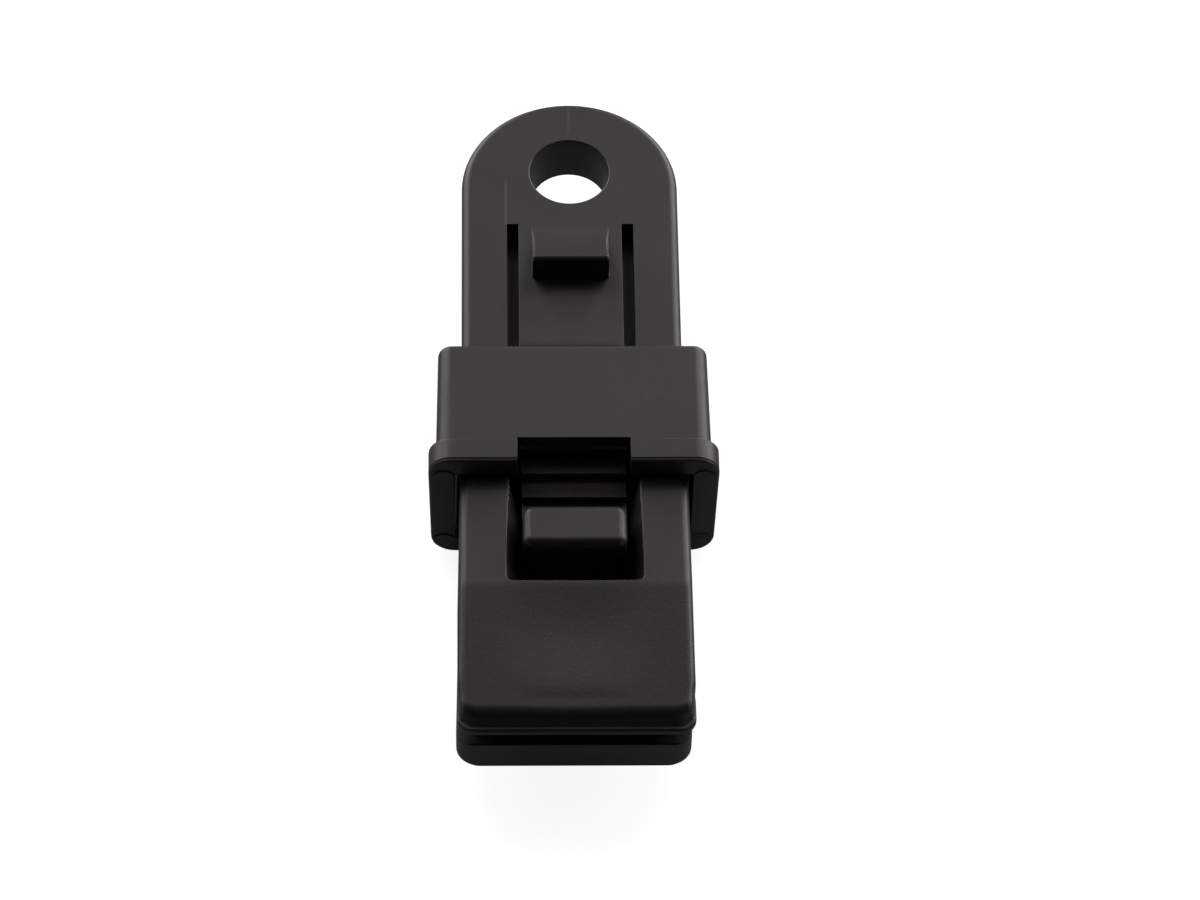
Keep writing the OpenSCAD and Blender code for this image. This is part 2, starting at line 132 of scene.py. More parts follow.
# Collar: the lip in front, the sleeve behind it, the notch and the pawl
COLLAR_FRONT, COLLAR_BACK = collar_low[1], collar_high[1]
LIP_BACK = COLLAR_FRONT + 3.45
LIP_HALF_W, LIP_HALF_H, LIP_STEP = collar_high[0], MID - collar_low[2], 0.85
LIP_CORNER, LIP_EDGE, LIP_TAPER = 2.8, 0.3, 0.3
SLEEVE_HALF_W, SLEEVE_HALF_H = LIP_HALF_W - LIP_STEP, LIP_HALF_H - LIP_STEP
SLEEVE_CORNER, SLEEVE_END, SLEEVE_DRAFT = 1.6, 1.0, 0.25
OPENING_HALF_W, OPENING_HALF_H, OPENING_CORNER = 13.5, 6.35, 0.4
NOTCH_HALF, NOTCH_REACH = 6.375, 0.6
PAWL_BACK, PAWL_HALF = TOOTH_START + 3 * TOOTH_PITCH - 0.1, 5.3
PAWL_DROP, PAWL_FLAT, PAWL_LENGTH, PAWL_SINK = 0.6, 0.6, 1.2, 0.5

# Groove round the lip behind its front: distance from the front, depth
GROOVE = 0.08
GROOVE_PROFILE = ((0.34, 0), (0.38, GROOVE), (0.46, GROOVE), (0.5, 0))

# Ejector-pin marks on the lip's front; one is stepped, by rings of radius and share of the height
MARK_HEIGHT, MARK_RADIUS, MARK_LENGTH = 0.14, 1.2, 0.6
MARK_ASIDE, MARK_ABOVE, MARK_BELOW = 14.7, 5.85, -6.6
MARK_RINGS = ((1.2, 0.5), (0.8, 0.75), (0.4, 1.0))

# How far the cutting tools reach past what they cut
PAST = 5


# Modelling tools


def object_mode():
    """Leave edit mode if it is on."""
    if bpy.context.mode != "OBJECT":
        bpy.ops.object.mode_set(mode="OBJECT")


def fresh():
    """Nothing selected, so that an operator reaches only the new piece."""
    object_mode()
    bpy.ops.object.select_all(action="DESELECT")


def hold(piece):
    """Make one piece the only one selected."""
    fresh()
    piece.select_set(True)
    bpy.context.view_layer.objects.active = piece


def apply_transform():
    bpy.ops.object.transform_apply(location=True, rotation=True, scale=True)


def block(name, low, high):
    """Box between two corners."""
    fresh()
    middle = [(a + b) / 2 for a, b in zip(low, high)]
    bpy.ops.mesh.primitive_cube_add(size=1, location=middle)
    piece = bpy.context.object
    piece.name = name
    piece.scale = [b - a for a, b in zip(low, high)]
    apply_transform()
    return piece


def extrude(name, outline, axis, start, end):
    """Draw an outline as a ring of points, fill it and pull it along an axis."""
    fresh()
    bpy.ops.mesh.primitive_circle_add(vertices=len(outline), radius=1, fill_type="NGON")
    piece = bpy.context.object
    piece.name = name
    for vertex, (a, b) in zip(piece.data.vertices, outline):
        vertex.co = {"X": (start, a, b), "Y": (a, start, b), "Z": (a, b, start)}[axis]
    bpy.ops.object.mode_set(mode="EDIT")
    bpy.ops.mesh.select_all(action="SELECT")
    pull = end - start
    move = {"X": (pull, 0, 0), "Y": (0, pull, 0), "Z": (0, 0, pull)}[axis]
    bpy.ops.mesh.extrude_region_move(TRANSFORM_OT_translate={"value": move})
    bpy.ops.mesh.select_all(action="SELECT")
    bpy.ops.mesh.normals_make_consistent(inside=False)
    object_mode()
    return piece


def loft(name, sections):
    """Pull one face through a row of sections, each a ring of points with as many corners."""
    fresh()
    bpy.ops.mesh.primitive_circle_add(vertices=len(sections[0]), radius=1, fill_type="NGON")
    piece = bpy.context.object
    piece.name = name
    for vertex, point in zip(piece.data.vertices, sections[0]):
        vertex.co = point
    bpy.ops.object.mode_set(mode="EDIT")
    bpy.ops.mesh.select_all(action="SELECT")
    for before, after in zip(sections, sections[1:]):
        bpy.ops.mesh.extrude_region_move(TRANSFORM_OT_translate={"value": (0, 0, 0)})
        mesh = bmesh.from_edit_mesh(piece.data)
        for vertex in [v for v in mesh.verts if v.select]:
            nearest = min(range(len(before)), key=lambda i: (vertex.co - Vector(before[i])).length)
            vertex.co = after[nearest]
        bmesh.update_edit_mesh(piece.data)
    bpy.ops.mesh.select_all(action="SELECT")
    bpy.ops.mesh.normals_make_consistent(inside=False)
    object_mode()
    return piece


def combine(piece, tool, operation):
    """Cut the tool away from the piece, add it or keep what they share."""
    hold(piece)
    change = piece.modifiers.new("combine", "BOOLEAN")
    change.operation = operation
    change.solver = "EXACT"
    change.object = tool
    bpy.ops.object.modifier_apply(modifier=change.name)
    bpy.data.objects.remove(tool)


def cut(piece, tool):
    combine(piece, tool, "DIFFERENCE")


def add(piece, tool):
    combine(piece, tool, "UNION")


def keep_shared(piece, tool):
    combine(piece, tool, "INTERSECT")


def tidy(piece, flat=0.4):
    """Merge doubles and take out the edges that lie inside flat faces; flat is in degrees."""
    hold(piece)
    bpy.ops.object.mode_set(mode="EDIT")
    bpy.ops.mesh.select_all(action="SELECT")
    bpy.ops.mesh.remove_doubles(threshold=0.004)
    bpy.ops.mesh.dissolve_limited(angle_limit=math.radians(flat))
    object_mode()


def pick_edges(test):
    """In edit mode, select the edges for which test is true, and nothing else."""
    mesh = bmesh.from_edit_mesh(bpy.context.object.data)
    bpy.context.tool_settings.mesh_select_mode = (False, True, False)
    for group in (mesh.verts, mesh.edges, mesh.faces):
        for item in group:
            item.select_set(False)
    mesh.normal_update()
    found = [edge for edge in mesh.edges if test(edge)]
    for edge in found:
        edge.select_set(True)
    mesh.select_flush_mode()
    bmesh.update_edit_mesh(bpy.context.object.data)
    return bool(found)


def round_edges(piece, radius, test, steps=5):
    """Bevel the edges that the test picks, in edit mode."""
    hold(piece)
    bpy.ops.object.mode_set(mode="EDIT")
    if pick_edges(test):
        bpy.ops.mesh.bevel(offset=radius, segments=steps, profile=0.5, affect="EDGES",
                           clamp_overlap=False)
    object_mode()


def sharp(edge, least=30):
    """True for an edge between faces that turn by more than so many degrees."""
    return edge.is_manifold and edge.calc_face_angle(0) > math.radians(least)


def at_root(edge):
    """True for an edge in the plane where the arms leave the tail, which stays flush."""
    return all(abs(v.co.y - ROOT) < 0.01 for v in edge.verts)


def ease_edges(piece, radius, steps=2):
    """Small bevel on every edge that is still sharp."""
    round_edges(piece, radius, lambda e: sharp(e, 38) and not at_root(e), steps)


def arc(centre, radius, first, last, steps):
    """Points on an arc from a first to a last angle in degrees."""
    points = []
    for i in range(steps + 1):
        turn = math.radians(first + (last - first) * i / steps)
        points.append((centre[0] + radius * math.cos(turn), centre[1] + radius * math.sin(turn)))
    return points


def rounded(half_w, half_h, radius):
    """Outline of a rectangle with round corners, about the middle of the clip's height."""
    points = []
    for sx, sz, first in ((1, 1, 0), (-1, 1, 90), (-1, -1, 180), (1, -1, 270)):
        corner = (sx * (half_w - radius), sz * (half_h - radius))
        points += arc(corner, radius, first, first + 90, 8)
    return [(x, z + MID) for x, z in points]


def mirrored(right):
    """A row of points at the right side, and the same at the left on the way back."""
    return right + [(-point[0], *point[1:]) for point in reversed(right)]


def spread(first, last, count):
    """So many even steps from first, without last."""
    return [first + (last - first) * i / count for i in range(count)]


def clamp(t):
    return min(1.0, max(0.0, t))


def ease(t):
    """Soft start and soft end between 0 and 1."""
    return t * t * (3 - 2 * t)


# Shape of the arms


def fall(t):
    """Bend from level into a straight fall."""
    return (t * t / BEND / 2 if t < BEND else t - BEND / 2) / (1 - BEND / 2)


def arm(y, tail, rail, nose):
    """Height of a jaw's outer face: level at the tail, up to the rails, down over the pad."""
    if y > LEVEL:
        return tail + (rail - tail) * ease(clamp((FLAT_END - y) / (FLAT_END - LEVEL)))
    return rail + (nose - rail) * fall(clamp((WINDOW - y) / FALL_LENGTH))


def side(y):
    """Half width of the jaws, without the round corners of the nose."""
    if y > LEVEL:
        widened = clamp((FLAT_END - y) / (FLAT_END - LEVEL))
        return TAIL_HALF + (JAW_HALF - TAIL_HALF) * widened
    return JAW_HALF + (NOSE_HALF - JAW_HALF) * clamp((LEVEL - y) / (LEVEL - NOSE))


def jaw_half(y):
    """Half width of the jaws, with the round corners of the nose."""
    reach = max(0.0, NOSE_CORNER - (y - NOSE))
    return side(y) - NOSE_CORNER + math.sqrt(max(0.0, NOSE_CORNER ** 2 - reach ** 2))


def inner(y):
    """Height of the upper jaw's inner face."""
    return MID + (MOUTH_TOP - MID) * (ROOT - y) / (ROOT - NOSE)


def dish(x, y, middle, reach, half, depth):
    """Depth at x, y of a shallow round hollow."""
    along, across = (y - middle) / reach, x / half
    if abs(along) >= 1 or abs(across) >= 1:
        return 0.0
    return depth * (0.5 + 0.5 * math.cos(math.pi * along)) * (1 - across ** 2) ** 2


def pad_hollow(x, y):
    """The thumb dish ahead of the window, and the sink mark in the middle of the brow."""
    return dish(x, y, *THUMB_DISH) + dish(x, y, *SINK_MARK)


def drawn_in(y):
    """How far the pad's body is drawn in from the ledge along its sides, near the nose."""
    return BROW_INSET * ease(clamp((NOSE + 4.5 - y) / 3))


def brow_bow(x):
    """How far the brow lies back at x, where it turns into its round corners."""
    over = abs(x) - (NOSE_HALF - BROW_INSET - BROW_CORNER)
    if over < 0:
        return 0.0
    return BROW_CORNER - math.sqrt(max(0.05, BROW_CORNER ** 2 - over ** 2))


def section(y, half, flat, outer, radius, shift=0.0, hollow=None, bow=0.0):
    """Section of a jaw at y: square edges at the flat side and round ones at the outer side."""
    up = 1 if outer > flat else -1
    left = arc((radius - half, 0), radius, 180, 90, 6)
    right = arc((half - radius, 0), radius, 90, 0, 6)
    points = [(-half, flat)]
    points += [(x, outer + up * (z - radius)) for x, z in left]
    if hollow:
        between = spread(radius - half, half - radius, 24)[1:]
        points += [(x, outer - hollow(x, y)) for x in between]
    points += [(x, outer + up * (z - radius)) for x, z in right]
    points += [(half, flat)]
    return [(x + shift, y + bow * brow_bow(x), z) for x, z in points]


ARM_STATIONS = (
    [ROOT] + spread(ROOT, FLAT_END, 6)[1:] + spread(FLAT_END, LEVEL, 26) + spread(LEVEL, WINDOW, 4)
    + spread(WINDOW, WINDOW - FALL_LENGTH, 40)
)


# Tail plate


def eyelet_tool():
    """Drafted bore that opens round at both faces of the tail, so that the rims are rounded."""
    narrow = EYELET_R + BORE_SPARE
    profile = []
    for up, face, radius in ((1, TAIL_TOP, narrow + 2 * BORE_DRAFT), (-1, TAIL_LOW, narrow)):
        rim = [(face + up * 1.0, radius + RIM), (face + up * 0.01, radius + RIM)]
        rim += [(face + up * (z - RIM), radius + RIM - x) for x, z in arc((0, 0), RIM, 80, 0, 6)]
        profile += rim if up > 0 else rim[::-1]
    turns = [math.tau * i / 128 for i in range(128)]
    rings = []
    for z, radius in profile:
        rings.append([(radius * math.cos(t), EYELET + radius * math.sin(t), z) for t in turns])
    return loft("eyelet_tool", rings)


def make_tail():
    """Plate with a round end and the eyelet, all edges rounded."""
    outline = [(TAIL_HALF, ROOT)] + arc((0, ARC), TAIL_HALF, 0, 180, 96) + [(-TAIL_HALF, ROOT)]
    tail = extrude("tail", outline, "Z", TAIL_LOW, TAIL_TOP)

    def on_rim(edge):
        ends = [v.co for v in edge.verts]
        return abs(ends[0].z - ends[1].z) < 0.01 and sharp(edge) and not at_root(edge)

    round_edges(tail, EDGE, on_rim, 8)
    cut(tail, eyelet_tool())
    return tail


# Jaws


def window_tool():
    """Everything that is open round the tongue: the two slots and the window."""
    corner = (WINDOW_HALF - WINDOW_CORNER, WINDOW + WINDOW_CORNER)
    right = [(SLOT_HALF, ROOT)]
    for y in spread(LEVEL, WINDOW + WINDOW_CORNER, 20):
        widened = (WINDOW_HALF - SLOT_HALF) * (LEVEL - y) / (LEVEL - WINDOW)
        right.append((SLOT_HALF + widened, y))
    outline = mirrored(right + arc(corner, WINDOW_CORNER, 0, -90, 6))
    levels = []
    for z in (RAIL_TOP - 7, RAIL_TOP - WALL_DEPTH, RAIL_TOP + 1):
        reach = WALL_REACH * min(1, (RAIL_TOP - z) / WALL_DEPTH) / WINDOW_HALF
        level = []
        for x, y in outline:
            level.append((x * (1 - reach * ease(clamp((LEVEL - y) / WALL_RUN_OUT))), y, z))
        levels.append(level)
    return loft("window_tool", levels)


def ridge_tool(low, spare=0.0):
    """Comb of V shaped ridges across a pad; spare is its clearance at both ends."""
    outline = [(RIDGE_START - RIDGE_HEIGHT, low - 1.5)]
    for i in range(RIDGE_COUNT):
        y = RIDGE_START + i * RIDGE_PITCH
        outline += [(y - RIDGE_HEIGHT, low - RIDGE_SINK), (y, low + RIDGE_HEIGHT),
                    (y + RIDGE_HEIGHT, low - RIDGE_SINK)]
    outline += [(y + RIDGE_HEIGHT, low - 1.5)]
    return extrude("ridge_tool", outline, "X", -RIDGE_HALF - spare, RIDGE_HALF + spare)


def nose_profile():
    """Side view of the brow and of the sloping face down to the ledge."""
    slope = math.degrees(math.atan((RAIL_TOP - NOSE_TOP) / FALL_LENGTH / (1 - BEND / 2)))
    tilt = math.radians(NOSE_TILT)
    brow = (NOSE + NOSE_LENGTH, NOSE_TOP - BROW_RADIUS)
    points = arc(brow, BROW_RADIUS, 90 + slope, 180 - NOSE_TILT, 10)
    foot_z = LEDGE_TOP + FOOT_RADIUS * (1 - math.sin(tilt))
    foot_y = points[-1][0] - (points[-1][1] - foot_z) * math.tan(tilt)
    foot = (foot_y - FOOT_RADIUS * math.cos(tilt), LEDGE_TOP + FOOT_RADIUS)
    points += arc(foot, FOOT_RADIUS, -NOSE_TILT, -90, 6)
    return points


def nose_plate():
    """Thin plate with round edges under the pad's front part, whose rim is the ledge.

    Its rear end lies a little inside the pad, so that no two faces share a plane.
    """
    rim = (NOSE + LEDGE_RADIUS, LEDGE_TOP - LEDGE_RADIUS)
    profile = [(y, LEDGE_TOP) for y in spread(NOSE + PLATE_LENGTH, NOSE + NOSE_CORNER, 4)]
    profile += [(y, LEDGE_TOP) for y in spread(NOSE + NOSE_CORNER, NOSE + LEDGE_RADIUS, 8)]
    profile += arc(rim, LEDGE_RADIUS, 90, 170, 8)
    sections = []
    for y, z in profile:
        within = clamp((y - NOSE - PLATE_LENGTH + 2) / 2)
        half = jaw_half(y) - PLATE_INSET * within
        flat = inner(y) + PLATE_LIFT * within
        sections.append(section(y, half, flat, z, min(LEDGE_RADIUS, 0.8 * (z - flat))))
    return loft("nose_plate", sections)


def make_upper_jaw():
    """Rails, window and pad, with the brow and the ledge at the nose."""
    stations = [(y, arm(y, TAIL_TOP, RAIL_TOP, NOSE_TOP)) for y in ARM_STATIONS]
    sections = []
    for y, z in stations + nose_profile():
        bow = ease(clamp((NOSE + 6.5 - y) / 3.5))
        flat = inner(y) + BODY_LIFT * clamp((NOSE + PLATE_LENGTH - 1.5 - y) / 0.5)
        radius = min(EDGE, 0.45 * (z - flat))
        half = side(y) - drawn_in(y)
        sections.append(section(y, half, flat, z, radius, hollow=pad_hollow, bow=bow))
    jaw = loft("upper_jaw_moulding", sections)
    add(jaw, nose_plate())
    cut(jaw, window_tool())
    cut(jaw, ridge_tool(inner(RIDGE_START), RIDGE_SPARE))
    tidy(jaw, 0.05)

    def behind_the_nose(edge):
        return sharp(edge, 38) and all(NOSE + 7 < v.co.y < ROOT - 0.01 for v in edge.verts)

    round_edges(jaw, 0.12, behind_the_nose, 3)
    return jaw


def jaw_set(y):
    """How far the lower jaw has been bent to the left by its moulding, at y."""
    return -JAW_SET * clamp((ROOT - y) / (ROOT - NOSE)) ** 2


def make_lower_jaw():
    """Arm with the pocket under the tongue and the ridges of its pad."""
    stations = ARM_STATIONS + spread(WINDOW - FALL_LENGTH, NOSE + NOSE_CORNER, 3)
    for turn in range(0, 91, 10):
        stations.append(NOSE + NOSE_CORNER * (1 - math.sin(math.radians(turn))))
    sections = []
    for y in stations:
        half = jaw_half(y) - NOSE_NARROW * clamp((WINDOW - y) / 8)
        outer = arm(y, TAIL_LOW, RAIL_LOW, NOSE_LOW)
        sections.append(section(y, half, LOWER_FACE, outer, EDGE, jaw_set(y)))
    jaw = loft("lower_jaw_moulding", sections)
    ease_edges(jaw, 0.15, 3)
    above = 12
    pocket = [(POCKET_START, above), (POCKET_START, POCKET_SHALLOW), (FLAT_END, POCKET_MIDDLE),
              (POCKET_LEVEL, POCKET_DEEP), (WINDOW, POCKET_DEEP), (WINDOW, above)]
    cut(jaw, extrude("pocket_tool", pocket, "X", -SLOT_HALF, SLOT_HALF))
    add(jaw, ridge_tool(LOWER_FACE))
    return jaw


# Release tongue


def tongue_height(y):
    """Height of the tongue's top without the teeth."""
    return arm(max(y, LEVEL), TAIL_TOP, TONGUE_TOP, TONGUE_TOP)


def make_blade():
    """The tongue's blade with the ratchet teeth, cut to its plan."""
    outline = [(ROOT, TAIL_TOP), (FLAT_END, TAIL_TOP)]
    for i in range(TOOTH_COUNT - 1, -1, -1):
        y = TOOTH_START + i * TOOTH_PITCH
        top = tongue_height(y)
        outline += [(y + TOOTH_PITCH - TOOTH_GAP, tongue_height(y + TOOTH_PITCH)),
                    (y, top + TOOTH_HEIGHT), (y - TOOTH_LEAN, top)]
    outline += [(TIP, TONGUE_TOP), (TIP, TONGUE_TOP - TONGUE_THICK)]
    outline += [(y, tongue_height(y) - TONGUE_THICK) for y in spread(LEVEL, FLAT_END, 20)]
    outline += [(FLAT_END, TAIL_TOP - TONGUE_THICK), (ROOT, TAIL_TOP - TONGUE_THICK)]
    blade = extrude("release_tongue_moulding", outline, "X", -TONGUE_HALF - 1, TONGUE_HALF + 1)
    right = [(TONGUE_HALF, ROOT), (TONGUE_HALF, FLAT_END), (BUTTON_HALF + 0.03, BUTTON_BACK),
             (BUTTON_HALF - TIP_INSET, BUTTON_BACK - TIP_INSET), (BUTTON_HALF - TIP_INSET, TIP - 1)]
    keep_shared(blade, extrude("plan_tool", mirrored(right), "Z", 0, 20))
    return blade


def ramp_height(t):
    """Rise of the ramped stop along its length, from 0 to 1: a soft start, then ever steeper."""
    if t < RAMP_SOFT_END:
        return 1.224 * (t + 0.1155) ** 2
    return t * (t + 1) / 2


def ramp_section(y, top):
    """Section of the ramped stop: upright sides with a hollow foot, and round edges at its top."""
    rise = max(0.01, top - TAIL_TOP)
    base = TAIL_TOP - RAMP_SINK
    foot, edge = min(RAMP_FOOT, 0.3 * rise), min(RAMP_SIDE_EDGE, 0.45 * rise)
    right = [(RAMP_HALF + foot, TAIL_TOP - 0.8)]
    right += arc((RAMP_HALF + foot, base + foot), foot, 270, 183, 4)
    right += arc((RAMP_HALF - edge, base + rise - edge), edge, 3, 90, 6)
    return mirrored([(x, y, z) for x, z in right])


def make_ramp():
    """Ramped stop at the tongue's root, which ends in a steep face towards the collar."""
    length = RAMP_BACK - RAMP_FRONT - RAMP_EDGE
    slope = []
    for t in spread(-RAMP_LEAD, 1, 30):
        slope.append((RAMP_BACK - t * length, TAIL_TOP + RAMP_RISE * ramp_height(t)))
    crest = (RAMP_FRONT + RAMP_EDGE, TAIL_TOP + RAMP_RISE - RAMP_EDGE)
    slope += arc(crest, RAMP_EDGE, 90, 176, 8)
    return loft("ramp", [ramp_section(y, z) for y, z in slope])


def make_button():
    """Push button with rounded corners and top edges."""
    button = block("button", (-BUTTON_HALF, BUTTON_FRONT, BUTTON_FOOT),
                   (BUTTON_HALF, BUTTON_BACK, BUTTON_TOP))

    def upright(edge):
        return abs(edge.verts[0].co.z - edge.verts[1].co.z) > 1

    def round_the_top(edge):
        return sharp(edge) and min(v.co.z for v in edge.verts) > BUTTON_TOP - 0.01

    round_edges(button, BUTTON_EDGE, upright, 8)
    round_edges(button, BUTTON_TOP_EDGE, round_the_top, 8)
    tidy(button, 0.05)
    return button


def make_tongue():
    """Springy tongue with the ratchet teeth, the ramped stop and the push button."""
    tongue = make_blade()
    add(tongue, make_ramp())
    add(tongue, make_button())
    tidy(tongue, 0.05)
    ease_edges(tongue, 0.08)
    return tongue


# Locking collar


def pin_mark(x, height, radius, share=1.0):
    """Low round boss that an ejector pin leaves on the lip's front face."""
    front = COLLAR_FRONT + MARK_HEIGHT - share * MARK_HEIGHT
    fresh()
    bpy.ops.mesh.primitive_cylinder_add(
        vertices=40, radius=radius, depth=MARK_LENGTH, rotation=(math.pi / 2, 0, 0),
        location=(x, front + MARK_LENGTH / 2, MID + height))
    mark = bpy.context.object
    mark.name = "pin_mark"
    apply_transform()
    return mark


def lip_profile():
    """Places along the lip, and how far its outline is drawn in at each."""
    front = COLLAR_FRONT + MARK_HEIGHT
    profile = []
    for x, y in arc((0, 0), LIP_EDGE, 90, 0, 5):
        profile.append((front + LIP_EDGE - y, LIP_EDGE - x))
    profile += [(front + y, inset) for y, inset in GROOVE_PROFILE]
    for x, y in arc((0, 0), LIP_EDGE, 0, 90, 5):
        profile.append((LIP_BACK - LIP_EDGE + y, LIP_EDGE - x))
    return profile


def lip_ring(y, inset):
    """Outline of the lip at y, a little narrower towards the bottom."""
    ring = []
    for x, z in rounded(LIP_HALF_W - inset, LIP_HALF_H - inset, LIP_CORNER - inset):
        narrowed = LIP_TAPER * (0.5 - (z - MID) / LIP_HALF_H / 2) / LIP_HALF_W
        ring.append((x * (1 - narrowed), y, z))
    return ring


def make_sleeve():
    """Sleeve with draft towards its back and a rounded end."""
    outline = rounded(SLEEVE_HALF_W, SLEEVE_HALF_H, SLEEVE_CORNER)
    sleeve = extrude("collar_moulding", outline, "Y", COLLAR_FRONT + 0.5, COLLAR_BACK)
    for vertex in sleeve.data.vertices:
        if vertex.co.y > 0:
            vertex.co.x *= 1 - SLEEVE_DRAFT / SLEEVE_HALF_W
            vertex.co.z = MID + (vertex.co.z - MID) * (1 - SLEEVE_DRAFT / SLEEVE_HALF_H)

    def at_the_back(edge):
        return sharp(edge) and all(v.co.y > COLLAR_BACK - 0.01 for v in edge.verts)

    round_edges(sleeve, SLEEVE_END, at_the_back, 7)
    return sleeve


def make_lip():
    """Front lip with its groove and the marks of the ejector pins."""
    lip = loft("lip", [lip_ring(y, inset) for y, inset in lip_profile()])
    add(lip, pin_mark(-MARK_ASIDE, MARK_ABOVE, MARK_RADIUS))
    add(lip, pin_mark(MARK_ASIDE, MARK_ABOVE, MARK_RADIUS))
    add(lip, pin_mark(-MARK_ASIDE, MARK_BELOW, MARK_RADIUS))
    for radius, share in MARK_RINGS:
        add(lip, pin_mark(MARK_ASIDE, MARK_BELOW, radius, share))
    return lip


def make_pawl():
    """Catch under the roof, with a steep face at the back and a slope at the front."""
    roof = MID + OPENING_HALF_H
    outline = [(PAWL_BACK, roof + PAWL_SINK), (PAWL_BACK, roof - PAWL_DROP),
               (PAWL_BACK - PAWL_FLAT, roof - PAWL_DROP), (PAWL_BACK - PAWL_LENGTH, roof),
               (PAWL_BACK - PAWL_LENGTH, roof + PAWL_SINK)]
    return extrude("pawl", outline, "X", -PAWL_HALF, PAWL_HALF)


def make_collar():
    """Sleeve and lip in one, with the opening, the notch and the pawl."""
    collar = make_sleeve()
    add(collar, make_lip())
    opening = rounded(OPENING_HALF_W, OPENING_HALF_H, OPENING_CORNER)
    cut(collar, extrude("opening_tool", opening, "Y", COLLAR_FRONT - PAST, COLLAR_BACK + PAST))
    cut(collar, block("notch_tool", (-NOTCH_HALF, COLLAR_FRONT - PAST, MID),
                      (NOTCH_HALF, LIP_BACK + NOTCH_REACH, 25)))
    add(collar, make_pawl())
    tidy(collar)
    round_edges(collar, 0.1, lambda e: sharp(e, 60) and e.calc_length() > 0.5, 2)
    return collar


# Materials: dark and light tone of each plastic, and the colour of dust


MOULDING_TONES = ((0.0145, 0.0135, 0.013), (0.0185, 0.0175, 0.0168))
COLLAR_TONES = ((0.0135, 0.0128, 0.0122), (0.0175, 0.0167, 0.016))
DUST = (0.3, 0.3, 0.29, 1)


class Paint:
    """One node material: makes nodes and joins them."""

    def __init__(self, name):
        self.material = bpy.data.materials.new(name)
        self.material.use_nodes = True
        self.tree = self.material.node_tree
        self.tree.nodes.clear()

    def node(self, kind, settings=None, out=0, **inputs):
        """Node of a kind with its settings; inputs go by socket name, or by number as i0, i1."""
        made = self.tree.nodes.new(kind)
        for key, value in (settings or {}).items():
            setattr(made, key, value)
        for key, value in inputs.items():
            by_number = key[1:].isdigit()
            target = made.inputs[int(key[1:]) if by_number else key.replace("_", " ")]
            if isinstance(value, Wire):
                self.tree.links.new(value.socket, target)
            else:
                target.default_value = value
        return Wire(self, made.outputs[out]) if made.outputs else made


class Wire:
    """A socket that sums and products can be written with."""

    def __init__(self, paint, socket):
        self.paint = paint
        self.socket = socket

    def math(self, operation, first, second):
        return self.paint.node("ShaderNodeMath", {"operation": operation}, i0=first, i1=second)

    def __add__(self, other):
        return self.math("ADD", self, other)

    def __radd__(self, other):
        return self.math("ADD", other, self)

    def __sub__(self, other):
        return self.math("SUBTRACT", self, other)

    def __rsub__(self, other):
        return self.math("SUBTRACT", other, self)

    def __mul__(self, other):
        return self.math("MULTIPLY", self, other)

    def __rmul__(self, other):
        return self.math("MULTIPLY", other, self)


def line_mask(paint, across, width):
    """1 on a line where the coordinate across it is nearly zero, 0 beside it."""
    far = paint.node("ShaderNodeMath", {"operation": "ABSOLUTE"}, i0=across)
    return paint.node("ShaderNodeMapRange", {"interpolation_type": "SMOOTHSTEP"},
                      Value=far, From_Min=width, From_Max=width * 0.35, To_Min=0.0, To_Max=1.0)


def beyond(paint, value, start):
    """0 below start and 1 above it, with a short run-out."""
    return paint.node("ShaderNodeMapRange", Value=value, From_Min=start, From_Max=start + 0.4 * MM,
                      To_Min=0.0, To_Max=1.0)


def parting_lines(paint, place):
    """Fine raised lines where the mould's parts met: by the left slot, the eyelet, the nose."""
    x = paint.node("ShaderNodeSeparateXYZ", Vector=place, out=0)
    y = paint.node("ShaderNodeSeparateXYZ", Vector=place, out=1)
    z = paint.node("ShaderNodeSeparateXYZ", Vector=place, out=2)
    beside_slot = line_mask(paint, x + (SLOT_HALF + 0.12) * MM, 0.1 * MM)
    beside_slot = beside_slot * beyond(paint, y, (ROOT - 0.4) * MM)
    beside_slot = beside_slot * beyond(paint, -1 * y, -(EYELET - 1) * MM)
    over_eyelet = line_mask(paint, x, 0.12 * MM) * beyond(paint, y, (EYELET + EYELET_R + 1) * MM)
    on_nose = line_mask(paint, x, 0.12 * MM) * beyond(paint, -1 * y, -(NOSE + 0.8) * MM)
    on_nose = on_nose * beyond(paint, -1 * z, -(LOWER_FACE + 0.2) * MM)
    return beside_slot * 0.5 + over_eyelet * 0.4 + on_nose


def tooth_zone(paint, place):
    """1 over the ratchet teeth, where the collar has rubbed the grain smooth, and 0 elsewhere."""
    y = paint.node("ShaderNodeSeparateXYZ", Vector=place, out=1)
    return beyond(paint, y, BUTTON_BACK * MM) * beyond(paint, -1 * y, -(FLAT_END + 1) * MM)


